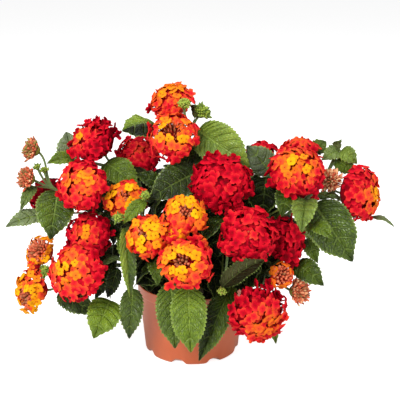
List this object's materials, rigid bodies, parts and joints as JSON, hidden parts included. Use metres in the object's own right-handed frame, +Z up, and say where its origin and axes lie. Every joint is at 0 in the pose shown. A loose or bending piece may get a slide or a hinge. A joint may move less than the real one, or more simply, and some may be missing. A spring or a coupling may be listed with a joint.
{
  "type": "potted lantana",
  "caption": "Bushy flowering plant in a small round nursery pot: leafy stems with toothed leaves rise from the substrate and carry domed heads of red, orange and yellow florets.",
  "frame": {"origin": "centre of the pot's flat underside, on the surface it stands on", "axes": "+Z up along the pot's axis, -Y towards the front, +X to the right seen from the front"},
  "size_m": [0.357, 0.2381, 0.2587],
  "materials": {
    "pot": "thin moulded terracotta-coloured plastic, satin",
    "soil": "dark moist peat substrate, crumbly",
    "leaf": "rough hairy green leaf, wrinkled between the veins",
    "petal": "velvety petals, red outside to orange and yellow inside",
    "bud": "closed buds, pinkish brown over green"
  },
  "bodies": {
    "root": {"pot": "pot", "soil": "soil", "leafy_stem_back": "leaf", "leafy_stem_back_left": "leaf", "leafy_stem_back_right": "leaf", "leafy_stem_centre": "leaf", "leafy_stem_front_left": "leaf", "leafy_stem_front_low": "leaf", "leafy_stem_front_right": "leaf", "leafy_stem_left_far": "leaf", "leafy_stem_left_low": "leaf", "leafy_stem_left_middle": "leaf", "leafy_stem_left_top": "leaf", "leafy_stem_right_far": "leaf", "leafy_stem_right_low": "leaf", "leafy_stem_right_middle": "leaf", "leafy_stem_right_top": "leaf", "leafy_stem_top": "leaf", "bloom_back": "petal", "bloom_back_far_right": "petal", "bloom_back_left": "petal", "bloom_back_left_inner": "petal", "bloom_back_right": "petal", "bloom_back_upper": "petal", "bloom_centre": "petal", "bloom_far_left_lower": "petal", "bloom_far_left_upper": "petal", "bloom_left_behind": "petal", "bloom_left_centre": "petal", "bloom_left_inner": "petal", "bloom_left_lower": "petal", "bloom_left_middle": "petal", "bloom_left_top": "petal", "bloom_left_upper": "petal", "bloom_middle_left": "petal", "bloom_middle_lower": "petal", "bloom_middle_upper": "petal", "bloom_right_behind": "petal", "bloom_right_centre": "petal", "bloom_right_far": "petal", "bloom_right_far_behind": "petal", "bloom_right_inner": "petal", "bloom_right_low_open": "petal", "bloom_right_lower": "petal", "bloom_right_top": "petal", "bloom_top": "petal", "bloom_top_front": "petal", "bud_head_far_lower": "bud", "bud_head_far_upper": "bud", "bud_head_right": "bud", "bud_head_right_low": "bud"}
  },
  "joints": []
}
